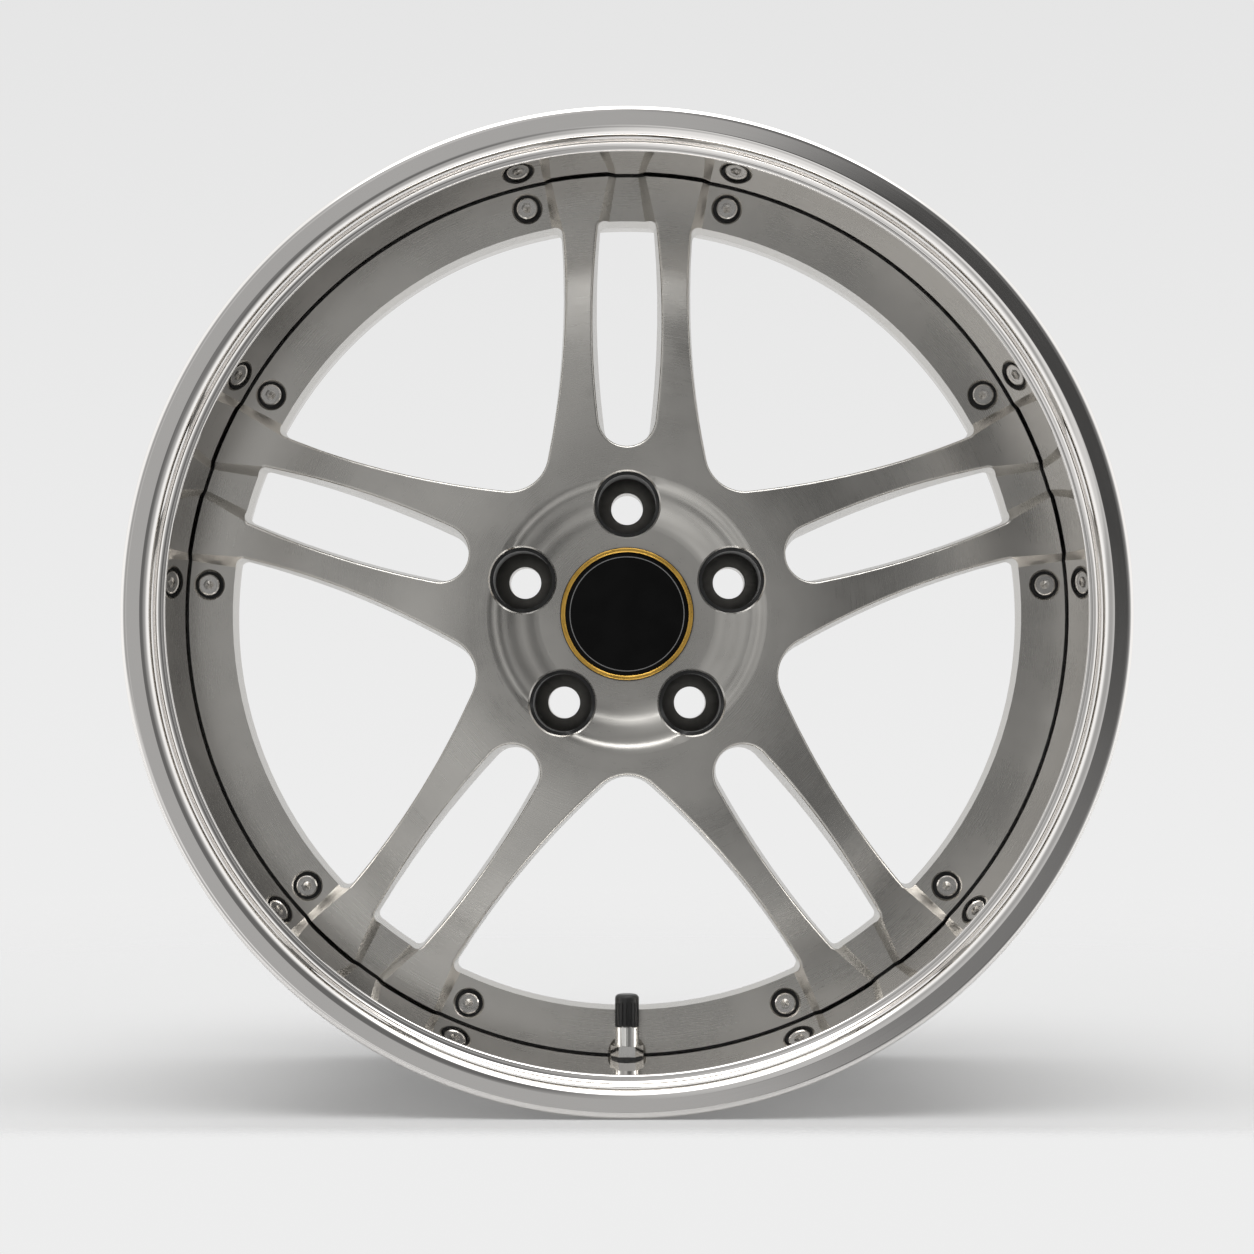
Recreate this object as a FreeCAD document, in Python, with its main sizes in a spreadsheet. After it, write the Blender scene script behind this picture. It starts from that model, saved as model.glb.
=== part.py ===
import FreeCAD, Part
import math
import os
import Sketcher

# Driving sizes of the wheel, in millimetres and degrees
# Depths run from the front flange plane towards the car, radii from the wheel axis
SIZES = {
    # rim halves
    "rim_width": 268.0,
    "seat_radius": 241.3,
    "flange_thickness": 13.35,
    "flange_rounding": 3.6,
    "flange_dish": 6.5,
    "flange_face_width": 9.1,
    "flange_height": 17.3,
    "seat_corner": 6.5,
    "seat_width": 15.0,
    "seat_taper": 5.0,
    "hump_height": 1.2,
    "hump_ramp": 3.7,
    "hump_top": 2.5,
    "lip_roll": 7.0,
    "lip_step_depth": 14.1,
    "lip_step_edge": 1.4,
    "lip_wall": 3.8,
    "lip_bore_taper": 4.2,
    "tyre_side_drop": 1.1,
    "joint_groove": 2.5,
    "barrel_wall": 4.5,
    "barrel_shoulder": 15.0,
    "well_drop": 18.2,
    "well_front_slope": 18.0,
    "well_width": 28.0,
    "well_back_slope": 26.0,
    "rear_roll": 6.0,
    "rear_face_width": 8.1,
    "rear_cone": 12.0,
    # bolted stack
    "joint_depth": 81.5,
    "lip_flange": 7.5,
    "barrel_flange": 7.5,
    "disc_edge_gap": 0.8,
    "ring_width": 21.7,
    "ring_floor_depth": 64.0,
    "edge_seal_depth": 66.0,
    "edge_seal_height": 4.0,
    "seal_gap": 0.1,
    "bolt_inset": 10.3,
    "bolt_angle": 13.8,
    "bolt_radius": 3.5,
    "bolt_hole_gap": 0.2,
    "bolt_head_radius": 5.5,
    "bolt_head_height": 5.6,
    "bolt_head_chamfer": 0.6,
    "bolt_rim_radius": 4.0,
    "bolt_rim_height": 0.5,
    "bolt_socket_flats": 5.2,
    "bolt_socket_depth": 3.4,
    "bolt_end": 2.0,
    "bolt_end_chamfer": 0.7,
    "counterbore_radius": 7.5,
    "counterbore_depth": 5.2,
    "counterbore_chamfer": 0.75,
    "washer_gap": 0.2,
    "bolt_washer_thickness": 1.4,
    "nut_washer_radius": 7.0,
    "nut_washer_thickness": 1.4,
    "nut_flats": 11.0,
    "nut_height": 7.0,
    "nut_chamfer": 0.8,
    # spoke disc
    "pair_count": 5,
    "hub_face_depth": 30.0,
    "hub_flat_radius": 75.0,
    "crown_radius": 285.0,
    "sweep_start": 28.0,
    "sweep_radius": 97.0,
    "ring_slope": 4.0,
    "bowl_depth": 7.0,
    "bowl_floor_radius": 46.0,
    "bowl_mouth_radius": 73.0,
    "bowl_ledge_radius": 64.8,
    "bowl_ledge_sink": 2.4,
    "mount_depth": 96.0,
    "mount_pad_radius": 80.0,
    "pad_bevel": 6.0,
    "spoke_back_depth": 90.0,
    "back_rim_width": 5.0,
    "hub_bore": 36.55,
    "hub_bore_chamfer": 1.5,
    "cap_bore": 32.6,
    "cap_land": 19.5,
    "cap_relief": 3.0,
    "pair_waist": 31.5,
    "pair_waist_radius": 171.4,
    "pair_edge_radius": 442.0,
    "window_inner": 83.6,
    "window_corner": 6.5,
    "slot_waist": 18.8,
    "slot_waist_radius": 162.0,
    "slot_edge_radius": 500.0,
    "slot_inner": 87.2,
    "slot_corner": 6.0,
    "opening_draft": 2.6,
    "spoke_edge_rounding": 1.3,
    "flank_slope": 42.0,
    "flank_start": 6.5,
    "pair_foot_inner": 34.9,
    "pair_foot_outer": 38.6,
    "slot_foot_inner": 15.1,
    "slot_foot_outer": 11.7,
    "foot_margin": 8.2,
    "lug_circle": 57.15,
    "lug_hole": 8.5,
    "lug_pocket": 17.0,
    "lug_pocket_depth": 76.0,
    "lug_pocket_chamfer": 0.8,
    "back_pocket_circle": 58.0,
    "back_pocket_half": 9.0,
    "back_pocket_angle": 10.0,
    "back_pocket_depth": 14.0,
    # lug seat inserts
    "insert_gap": 0.1,
    "insert_wall": 1.7,
    "insert_sink": 1.3,
    "insert_cone_depth": 62.0,
    "insert_cone_angle": 30.0,
    # centre cap
    "cap_flange_radius": 34.9,
    "cap_flange_height": 3.4,
    "cap_fit_gap": 0.25,
    "cap_skirt_wall": 2.4,
    "cap_barb_lead": 0.2,
    "cap_barb": 1.5,
    "cap_barb_height": 3.0,
    "cap_slot_width": 7.0,
    "cap_slot_depth": 17.0,
    "cap_slot_count": 6,
    "cap_top_wall": 2.6,
    "trim_inner": 32.2,
    "trim_width": 2.2,
    "trim_height": 1.6,
    "face_gap": 0.1,
    "face_height": 0.9,
    "face_step_radius": 29.7,
    "face_crown": 0.5,
    "face_flat": 1.5,
    "wire_radius": 0.8,
    "wire_sink": 4.0,
    # valve
    "valve_depth": 56.9,
    "valve_hole": 5.7,
    "valve_spot_face": 8.8,
    "scoop_radius": 12.3,
    "scoop_inset": 0.4,
    "valve_way_gap": 0.5,
    "stem_radius": 3.85,
    "stem_height": 32.8,
    "stem_bore": 2.2,
    "stem_tip_chamfer": 0.6,
    "foot_radius": 7.5,
    "foot_thickness": 3.4,
    "grommet_thickness": 2.6,
    "grommet_gap": 0.1,
    "thread_gap": 0.12,
    "nut_sleeve_radius": 6.35,
    "nut_sleeve_length": 9.8,
    "nut_hex_flats": 15.0,
    "nut_hex_height": 5.6,
    "valve_washer_radius": 8.2,
    "valve_washer_thickness": 2.2,
    "valve_flat_sink": 0.64,
    "dust_cap_radius": 6.3,
    "dust_cap_length": 16.8,
    "dust_cap_top": 1.2,
    "dust_cap_rounding": 2.2,
    "rib_count": 18,
    "rib_radius": 0.55,
    "rib_length": 12.5,
    "cap_pad_thickness": 0.7,
    "core_top": 1.1,
    "core_length": 11.6,
    "core_radius": 2.1,
    "core_bore": 1.3,
    "core_floor": 4.0,
    "core_neck": 0.75,
    "core_groove_start": 4.6,
    "core_groove_width": 2.0,
    "core_groove_depth": 0.4,
    "core_seal_gap": 0.03,
    "pin_radius": 0.6,
    "pin_tip": 0.6,
    "pin_collar_radius": 1.1,
    "pin_collar_start": 0.7,
    "pin_collar_height": 0.8,
    "poppet_radius": 1.9,
    "poppet_height": 1.4,
    "poppet_gap": 0.1,
    "spring_radius": 0.95,
    "spring_wire": 0.15,
    "spring_turns": 6,
    "spring_end_gap": 0.05,
}


class Size:
    """A sheet size, or a formula of some: its text for the sheet and its present value."""

    def __init__(self, text, value):
        self.text = text
        self.value = value

    def __add__(self, other):
        other = as_size(other)
        return Size(f"({self.text} + {other.text})", self.value + other.value)

    def __sub__(self, other):
        other = as_size(other)
        return Size(f"({self.text} - {other.text})", self.value - other.value)

    def __mul__(self, other):
        other = as_size(other)
        return Size(f"({self.text} * {other.text})", self.value * other.value)

    def __truediv__(self, other):
        other = as_size(other)
        return Size(f"({self.text} / {other.text})", self.value / other.value)

    def __neg__(self):
        return as_size(0) - self

    def __radd__(self, other):
        return as_size(other) + self

    def __rsub__(self, other):
        return as_size(other) - self

    def __rmul__(self, other):
        return as_size(other) * self

    def __rtruediv__(self, other):
        return as_size(other) / self


def as_size(number):
    if isinstance(number, Size):
        return number
    return Size(str(number), float(number))


def root(size):
    return Size(f"sqrt({size.text})", math.sqrt(size.value))


def sine(angle):
    return Size(f"sin({angle.text})", math.sin(math.radians(angle.value)))


def cosine(angle):
    return Size(f"cos({angle.text})", math.cos(math.radians(angle.value)))


def tangent(angle):
    return Size(f"tan({angle.text})", math.tan(math.radians(angle.value)))


doc = FreeCAD.newDocument("car_wheel")
sheet = doc.addObject("Spreadsheet::Sheet", "Sizes")
for row, (alias, number) in enumerate(SIZES.items(), start=1):
    sheet.set(f"A{row}", alias)
    sheet.set(f"B{row}", str(number))
    sheet.setAlias(f"B{row}", alias)
doc.recompute()


def size(alias):
    return Size(f"Sizes.{alias}", float(sheet.get(alias)))


def bind(feature, path, value):
    feature.setExpression(path, as_size(value).text)


def axial(depth):
    """Place along the wheel axis of a depth behind the front flange plane."""
    return depth - size("rim_width") / 2


# Sketch and feature helpers

def new_body(name, label=None):
    body = doc.addObject("PartDesign::Body", name)
    body.Label = label or name
    return body


def origin_feature(body, role):
    return next(item for item in body.Origin.OriginFeatures if item.Role == role)


def new_sketch(body, name, plane, offset=None, turn=None):
    sketch = body.newObject("Sketcher::SketchObject", name)
    sketch.AttachmentSupport = [(origin_feature(body, plane), "")]
    sketch.MapMode = "FlatFace"
    if offset is not None:
        bind(sketch, "AttachmentOffset.Base.z", offset)
    if turn is not None:
        sketch.AttachmentOffset = FreeCAD.Placement(
            FreeCAD.Vector(), FreeCAD.Rotation(FreeCAD.Vector(0, 0, 1), turn.value))
        bind(sketch, "AttachmentOffset.Rotation.Angle", turn)
    return sketch


def constrain(sketch, kind, ends, value):
    """One dimension of the sketch, bound to the sheet."""
    if kind in ("DistanceX", "DistanceY") and abs(value.value) < 1e-9:
        axis = -2 if kind == "DistanceX" else -1
        sketch.addConstraint(Sketcher.Constraint("PointOnObject", ends[0], ends[1], axis))
        return
    if kind == "Radius":
        index = sketch.addConstraint(Sketcher.Constraint(kind, ends[0], value.value))
    else:
        index = sketch.addConstraint(Sketcher.Constraint(kind, -1, 1, ends[0], ends[1], value.value))
    bind(sketch, f"Constraints[{index}]", value)


def place(sketch, geometry, end, point):
    """Fix one point of the sketch at two bound distances from its origin."""
    constrain(sketch, "DistanceX", (geometry, end), as_size(point[0]))
    constrain(sketch, "DistanceY", (geometry, end), as_size(point[1]))


def vector(point):
    return FreeCAD.Vector(as_size(point[0]).value, as_size(point[1]).value, 0)


def arc_between(start, end, radius, side):
    """Arc from start to end about a centre on its left (side 1) or right (side -1)."""
    chord = end - start
    half = chord.Length / 2
    rise = math.sqrt(max(radius * radius - half * half, 0.0))
    across = FreeCAD.Vector(-chord.y, chord.x, 0).normalize() * side
    centre = (start + end) * 0.5 + across * rise
    angles = [math.atan2(point.y - centre.y, point.x - centre.x) for point in (start, end)]
    if side < 0:
        angles.reverse()
    if angles[1] < angles[0]:
        angles[1] += 2 * math.pi
    circle = Part.Circle(centre, FreeCAD.Vector(0, 0, 1), radius)
    return Part.ArcOfCircle(circle, angles[0], angles[1])


def draw_profile(sketch, corners):
    """Closed outline through the corners.

    A corner is (x, y), or (x, y, radius, side) where an arc leads to it from the corner before.
    """
    count = len(corners)
    starts = []
    for index, corner in enumerate(corners):
        start = vector(corners[index - 1])
        end = vector(corner)
        if len(corner) == 2:
            geometry = sketch.addGeometry(Part.LineSegment(start, end), False)
            starts.append((geometry, 1, 2))
            continue
        radius, side = as_size(corner[2]), corner[3]
        geometry = sketch.addGeometry(arc_between(start, end, radius.value, side), False)
        constrain(sketch, "Radius", (geometry,), radius)
        starts.append((geometry, 1, 2) if side > 0 else (geometry, 2, 1))
    for index in range(count):
        before, after = starts[index], starts[(index + 1) % count]
        sketch.addConstraint(
            Sketcher.Constraint("Coincident", before[0], before[2], after[0], after[1]))
        place(sketch, before[0], before[2], corners[index])


def draw_circle(sketch, centre, radius):
    radius = as_size(radius)
    circle = Part.Circle(vector(centre), FreeCAD.Vector(0, 0, 1), radius.value)
    geometry = sketch.addGeometry(circle, False)
    constrain(sketch, "Radius", (geometry,), radius)
    place(sketch, geometry, 3, centre)


def draw_hexagon(sketch, flats):
    reach = flats / root(as_size(3))
    corners = []
    for step in range(6):
        angle = as_size(60 * step)
        corners.append((reach * cosine(angle), reach * sine(angle)))
    draw_profile(sketch, corners)


def revolve(body, name, corners, plane="XY_Plane"):
    """Turned solid: corners are (radius, place along the axis)."""
    sketch = new_sketch(body, f"{name}_section", plane)
    draw_profile(sketch, corners)
    feature = body.newObject("PartDesign::Revolution", name)
    feature.Profile = sketch
    feature.ReferenceAxis = (sketch, ["V_Axis"])
    feature.Angle = 360
    return feature


def groove(body, name, corners, plane="XY_Plane"):
    sketch = new_sketch(body, f"{name}_section", plane)
    draw_profile(sketch, corners)
    feature = body.newObject("PartDesign::Groove", name)
    feature.Profile = sketch
    feature.ReferenceAxis = (sketch, ["V_Axis"])
    feature.Angle = 360
    return feature


def pad(body, name, sketch, length):
    feature = body.newObject("PartDesign::Pad", name)
    feature.Profile = sketch
    bind(feature, "Length", length)
    return feature


def pocket(body, name, sketch, depth=None, taper=None, back=False):
    feature = body.newObject("PartDesign::Pocket", name)
    feature.Profile = sketch
    feature.Reversed = back
    if depth is None:
        feature.Type = "ThroughAll"
    else:
        bind(feature, "Length", depth)
    if taper is not None:
        bind(feature, "TaperAngle", -taper)
    return feature


def polar(body, name, features, count, axis="Y_Axis"):
    pattern = body.newObject("PartDesign::PolarPattern", name)
    pattern.Originals = features
    pattern.Axis = (origin_feature(body, axis), [""])
    pattern.Angle = 360
    bind(pattern, "Occurrences", count)
    body.Tip = pattern
    return pattern


def front_sketch(body, name, depth, turn=None):
    """Sketch across the wheel axis at a depth; x runs along X and y along Z."""
    return new_sketch(body, name, "XZ_Plane", -axial(depth), turn)


def copies(template, name, places):
    """Node of equal solids: the template's solid at each place."""
    group = doc.addObject("Part::Feature", name)
    group.Label = name
    shapes = []
    for spot in places:
        shape = template.Shape.copy()
        shape.Placement = spot.multiply(shape.Placement)
        shapes.append(shape)
    group.Shape = Part.makeCompound(shapes)
    return group


def bolt_places():
    """Shift of each rim bolt from the wheel axis: one each side of every spoke pair."""
    reach = bolt_circle.value
    pitch = 360 / int(size("pair_count").value)
    places = []
    for pair in range(int(size("pair_count").value)):
        for side in (-1, 1):
            angle = math.radians(pair * pitch + side * size("bolt_angle").value)
            shift = FreeCAD.Vector(reach * math.sin(angle), 0, reach * math.cos(angle))
            places.append(FreeCAD.Placement(shift, FreeCAD.Rotation()))
    return places


def lug_places():
    reach = size("lug_circle").value
    pitch = 360 / int(size("pair_count").value)
    places = []
    for pair in range(int(size("pair_count").value)):
        angle = math.radians(pair * pitch)
        shift = FreeCAD.Vector(reach * math.sin(angle), 0, reach * math.cos(angle))
        places.append(FreeCAD.Placement(shift, FreeCAD.Rotation()))
    return places


# Depths and radii that several pieces share

half_pitch = 180 / size("pair_count")
joint_back = size("joint_depth") + size("lip_flange")
stack_back = joint_back + size("barrel_flange")
bolt_hole = size("bolt_radius") + size("bolt_hole_gap")
flange_radius = size("seat_radius") + size("flange_height")
flange_face = flange_radius - size("flange_face_width")
rear_face = flange_radius - size("rear_face_width")
tyre_side = size("seat_radius") - size("tyre_side_drop")
well_radius = tyre_side - size("well_drop")
lip_mouth = size("seat_radius") - size("lip_wall")
lip_mouth_depth = size("lip_step_depth") + size("lip_step_edge")
bowl_floor = size("hub_face_depth") + size("bowl_depth")
cap_land_end = bowl_floor + size("cap_land")
counterbore_floor = size("ring_floor_depth") + size("counterbore_depth")
seal_end = size("edge_seal_depth") + size("edge_seal_height")


def lip_bore(depth):
    """Radius of the bright inner wall of the lip at a depth."""
    return lip_mouth - (depth - lip_mouth_depth) * tangent(size("lip_bore_taper"))


disc_radius = lip_bore(seal_end) - size("disc_edge_gap")
ring_bore = disc_radius - size("ring_width")
bolt_circle = disc_radius - size("bolt_inset")
crown_end = ring_bore - size("sweep_start")
valve_seat = lip_bore(size("valve_depth")) + size("valve_flat_sink")
stem_top = valve_seat - size("stem_height")


def bead_side(mirror):
    """Tyre side of a rim half from its flange edge to behind the hump, front or rear."""
    rounding = size("flange_rounding")
    flange_inner = size("flange_thickness")
    seat_start = flange_inner + size("seat_corner")
    seat_end = seat_start + size("seat_width")
    seat_low = size("seat_radius") - size("seat_width") * tangent(size("seat_taper"))
    hump_start = seat_end + size("hump_ramp")
    hump_end = hump_start + size("hump_top")
    hump_radius = seat_low + size("hump_height")
    outer = flange_radius
    flip = (lambda depth: size("rim_width") - depth) if mirror else (lambda depth: depth)
    turn = -1 if mirror else 1
    corners = [
        (outer - rounding, axial(flip(as_size(0)))),
        (outer, axial(flip(rounding)), rounding, turn),
        (outer, axial(flip(flange_inner - rounding))),
        (outer - rounding, axial(flip(flange_inner)), rounding, turn),
        (size("seat_radius") + size("seat_corner"), axial(flip(flange_inner))),
        (size("seat_radius"), axial(flip(seat_start)), size("seat_corner"), -turn),
        (seat_low, axial(flip(seat_end))),
        (hump_radius, axial(flip(hump_start))),
        (hump_radius, axial(flip(hump_end))),
        (tyre_side, axial(flip(hump_end + size("hump_ramp")))),
    ]
    return corners


def drill_bolt_holes(body, start, end):
    """Bolt holes through a piece of the stack between two depths, a pair at each spoke pair."""
    sketch = front_sketch(body, f"{body.Name}_bolt_circle", start)
    for side in (-1, 1):
        angle = side * size("bolt_angle")
        draw_circle(sketch, (bolt_circle * sine(angle), bolt_circle * cosine(angle)), bolt_hole)
    hole = pocket(body, f"{body.Name}_bolt_holes", sketch, end - start)
    return polar(body, f"{body.Name}_bolt_ring", [hole], size("pair_count"))


# Front rim half

def make_lip():
    body = new_body("outer_lip")
    roll_radius = flange_face - size("lip_roll")
    edge_radius = lip_mouth + size("lip_step_edge")
    cove = roll_radius - edge_radius
    dish = size("flange_dish")
    face_inner = flange_face - size("lip_roll") * sine(dish)
    face_sink = (flange_radius - size("flange_rounding") - face_inner) * tangent(dish)
    roll_depth = face_sink + size("lip_roll") * cosine(dish)
    register = lip_bore(seal_end)
    groove_size = size("joint_groove")
    corners = bead_side(False) + [
        (tyre_side, axial(joint_back - groove_size)),
        (tyre_side - groove_size, axial(joint_back)),
        (ring_bore, axial(joint_back)),
        (ring_bore, axial(size("joint_depth"))),
        (register, axial(size("joint_depth"))),
        (register, axial(seal_end)),
        (lip_mouth, axial(lip_mouth_depth)),
        (edge_radius, axial(size("lip_step_depth")), size("lip_step_edge"), -1),
        (roll_radius, axial(size("lip_step_depth") - cove), cove, 1),
        (roll_radius, axial(roll_depth)),
        (face_inner, axial(face_sink), size("lip_roll"), -1),
    ]
    revolve(body, "lip_turning", corners)
    drill_bolt_holes(body, size("joint_depth"), joint_back)
    sketch = new_sketch(body, "valve_hole_outline", "XY_Plane")
    draw_circle(sketch, (0, axial(size("valve_depth"))), size("valve_hole"))
    pocket(body, "valve_hole_cut", sketch)
    flat = new_sketch(body, "valve_flat_outline", "XY_Plane")
    draw_circle(flat, (0, axial(size("valve_depth"))), size("valve_spot_face"))
    pocket(body, "valve_flat_cut", flat, valve_seat + size("seal_gap"))
    return body


# Rear rim half

def make_barrel():
    body = new_body("inner_barrel")
    groove_size = size("joint_groove")
    wall = size("barrel_wall")
    outer = tyre_side
    inner = outer - wall
    well_start = joint_back + size("barrel_shoulder")
    well_floor = well_start + size("well_front_slope")
    well_end = well_floor + size("well_width")
    well_top = well_end + size("well_back_slope")
    rear = size("rim_width")
    roll_end = rear - size("rear_roll")
    cone_end = roll_end - size("rear_cone")
    corners = [
        (ring_bore, axial(stack_back)),
        (ring_bore, axial(joint_back)),
        (outer - groove_size, axial(joint_back)),
        (outer, axial(joint_back + groove_size)),
        (outer, axial(well_start)),
        (well_radius, axial(well_floor)),
        (well_radius, axial(well_end)),
        (outer, axial(well_top)),
    ]
    corners += reversed_run(bead_side(True))
    corners += [
        (rear_face, axial(rear)),
        (rear_face - size("rear_roll"), axial(roll_end), size("rear_roll"), -1),
        (inner, axial(cone_end)),
        (inner, axial(well_top)),
        (well_radius - wall, axial(well_end)),
        (well_radius - wall, axial(well_floor)),
        (inner, axial(well_start)),
        (inner, axial(stack_back)),
    ]
    revolve(body, "barrel_turning", corners)
    drill_bolt_holes(body, joint_back, stack_back)
    return body


def reversed_run(corners):
    """The same run of corners walked from its other end."""
    run = []
    for index in range(len(corners) - 1, -1, -1):
        point = corners[index][:2]
        if index + 1 < len(corners) and len(corners[index + 1]) == 4:
            radius, side = corners[index + 1][2:]
            run.append((point[0], point[1], radius, -side))
        else:
            run.append(point)
    return run


# Spoke disc

def crown_depth(reach):
    """Depth of the convex part of the spoke face at a radius."""
    run = reach - size("hub_flat_radius")
    crown = size("crown_radius")
    return size("hub_face_depth") + crown - root(crown * crown - run * run)


def bend_pair(inner, outer, low, high):
    """Two equal arcs that climb from a floor to a ledge without a corner."""
    half_run = (outer - inner) / 2
    half_rise = (low - high) / 2
    bend = (half_run * half_run + half_rise * half_rise) / (2 * half_rise)
    return [(inner + half_run, axial(low - half_rise), bend, -1), (outer, axial(high), bend, 1)]


def bowl_corners(sink):
    """Hub bowl from its floor over its ledge to its mouth, sunk by a depth."""
    floor = size("bowl_floor_radius")
    ledge = size("bowl_ledge_radius")
    low = bowl_floor + sink
    high = size("hub_face_depth") + sink
    middle = high + size("bowl_ledge_sink")
    corners = [(floor, axial(low))]
    corners += bend_pair(floor, ledge, low, middle)
    return corners + bend_pair(ledge, size("bowl_mouth_radius"), middle, high)


def sweep_end():
    """Radius and depth where the spoke face has turned to the slope of the ring."""
    climb = (crown_end - size("hub_flat_radius")) / size("crown_radius")
    climb_cosine = root(1 - climb * climb)
    slope = size("ring_slope")
    reach = crown_end + size("sweep_radius") * (climb - sine(slope))
    depth = crown_depth(crown_end) + size("sweep_radius") * (cosine(slope) - climb_cosine)
    return reach, depth


def face_depth(reach):
    """Depth of the spoke face at a radius beyond the hub."""
    if reach <= crown_end.value:
        return crown_depth(as_size(reach)).value
    climb = (crown_end - size("hub_flat_radius")) / size("crown_radius")
    sweep = size("sweep_radius")
    run = crown_end + sweep * climb - reach
    start = crown_depth(crown_end) - sweep * root(1 - climb * climb)
    return (start + root(sweep * sweep - run * run)).value


def disc_corners():
    reach, depth = sweep_end()
    rim_depth = depth + (disc_radius - reach) * tangent(size("ring_slope"))
    bore_front = cap_land_end + size("cap_relief")
    return [(size("cap_bore"), axial(bowl_floor))] + bowl_corners(0) + [
        (size("hub_flat_radius"), axial(size("hub_face_depth"))),
        (crown_end, axial(crown_depth(crown_end)), size("crown_radius"), 1),
        (reach, axial(depth), size("sweep_radius"), -1),
        (disc_radius, axial(rim_depth)),
        (disc_radius, axial(size("joint_depth"))),
        (ring_bore - size("back_rim_width"), axial(size("joint_depth"))),
        (size("mount_pad_radius") + size("pad_bevel"), axial(size("spoke_back_depth"))),
        (size("mount_pad_radius"), axial(size("mount_depth"))),
        (size("hub_bore") + size("hub_bore_chamfer"), axial(size("mount_depth"))),
        (size("hub_bore"), axial(size("mount_depth") - size("hub_bore_chamfer"))),
        (size("hub_bore"), axial(bore_front)),
        (size("cap_bore"), axial(cap_land_end)),
    ]


def draw_opening(sketch, bend, bend_x, bend_y, inner, corner):
    """Opening between two spokes, symmetric about the sketch's y axis.

    Its sides are arcs of radius bend about (+-bend_x, bend_y), its hub end is one tangent arc whose
    lowest point is at inner, and its far end is the bore of the bolt ring with rounded corners.
    """
    drop = bend_y - inner
    end_radius = (bend * bend - bend_x * bend_x - drop * drop) / (2 * (bend - drop))
    end_centre = FreeCAD.Vector(0, inner.value + end_radius.value, 0)
    side_centre = FreeCAD.Vector(bend_x.value, bend_y.value, 0)
    far = ring_bore.value - corner.value
    near = bend.value - corner.value
    gap = side_centre.Length
    along = (far * far - near * near + gap * gap) / (2 * gap)
    across = math.sqrt(far * far - along * along)
    ahead = FreeCAD.Vector(side_centre).normalize()
    corner_centre = ahead * along + FreeCAD.Vector(-ahead.y, ahead.x, 0) * across

    def angle_from(centre, point):
        return math.atan2(point.y - centre.y, point.x - centre.x) % (2 * math.pi)

    origin = FreeCAD.Vector()
    ring_angle = angle_from(origin, corner_centre)
    side_top = angle_from(side_centre, corner_centre)
    side_end = angle_from(side_centre, end_centre)
    left_arcs = [
        (corner_centre, corner, ring_angle, side_top),
        (side_centre, bend, side_top, side_end),
    ]
    arcs = [(origin, ring_bore, math.pi - ring_angle, ring_angle)] + left_arcs
    arcs.append((end_centre, end_radius, side_end, 3 * math.pi - side_end))
    for centre, radius, first, last in reversed(left_arcs):
        mirrored = FreeCAD.Vector(-centre.x, centre.y, 0)
        arcs.append((mirrored, radius, math.pi - last, math.pi - first))
    for centre, radius, first, last in arcs:
        circle = Part.Circle(centre, FreeCAD.Vector(0, 0, 1), radius.value)
        geometry = sketch.addGeometry(Part.ArcOfCircle(circle, first, last), False)
        constrain(sketch, "Radius", (geometry,), radius)
    sketch.addConstraint(Sketcher.Constraint("Coincident", 0, 3, -1, 1))
    place(sketch, 2, 3, (bend_x, bend_y))
    place(sketch, 4, 3, (-bend_x, bend_y))
    for index in range(len(arcs)):
        sketch.addConstraint(Sketcher.Constraint("Tangent", index, 2, (index + 1) % len(arcs), 1))


def turned(x, y, angle):
    """Point of the spoke pair's frame, in the frame of the opening at an angle beside it."""
    return x * cosine(angle) - y * sine(angle), y * cosine(angle) + x * sine(angle)


def draw_ring_floor(sketch, side, foot_inner, foot_outer, angle):
    """Sunk floor of the bolt ring between two raised spoke ends."""
    lead = (foot_outer - foot_inner) / (disc_radius - ring_bore)
    start = ring_bore - size("foot_margin")
    end = disc_radius + size("foot_margin")
    left_start = turned(side * (foot_inner - lead * size("foot_margin")), start, angle)
    left_end = turned(side * (foot_outer + lead * size("foot_margin")), end, angle)
    outer = root(left_end[0] * left_end[0] + left_end[1] * left_end[1])
    draw_profile(sketch, [
        left_start,
        (-left_start[0], left_start[1]),
        (-left_end[0], left_end[1]),
        (left_end[0], left_end[1], outer, 1),
    ])


def cut_openings(body):
    through = size("mount_depth") - size("hub_face_depth") + 2
    start = size("hub_face_depth") - 1
    slot = front_sketch(body, "slot_outline", start)
    slot_bend = size("slot_edge_radius")
    draw_opening(slot, slot_bend, slot_bend - size("slot_waist"), size("slot_waist_radius"),
                 size("slot_inner"), size("slot_corner"))
    slot_cut = pocket(body, "slot_cut", slot, through, size("opening_draft"))
    window = front_sketch(body, "window_outline", start, half_pitch)
    bend = size("pair_edge_radius")
    bend_x, bend_y = turned(size("pair_waist") + bend, size("pair_waist_radius"), half_pitch)
    draw_opening(window, bend, bend_x, bend_y, size("window_inner"), size("window_corner"))
    window_cut = pocket(body, "window_cut", window, through, size("opening_draft"))
    return polar(body, "opening_ring", [slot_cut, window_cut], size("pair_count"))


def cut_ring_floors(body):
    floor_start = size("ring_floor_depth") - size("flank_start")
    wide = front_sketch(body, "wide_floor_outline", floor_start, half_pitch)
    draw_ring_floor(wide, 1, size("pair_foot_inner"), size("pair_foot_outer"), half_pitch)
    wide_cut = pocket(body, "wide_floor_cut", wide, size("flank_start"), size("flank_slope"))
    narrow = front_sketch(body, "narrow_floor_outline", floor_start)
    draw_ring_floor(narrow, -1, size("slot_foot_inner"), size("slot_foot_outer"), as_size(0))
    narrow_cut = pocket(body, "narrow_floor_cut", narrow, size("flank_start"), size("flank_slope"))
    return polar(body, "floor_ring", [wide_cut, narrow_cut], size("pair_count"))


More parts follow.
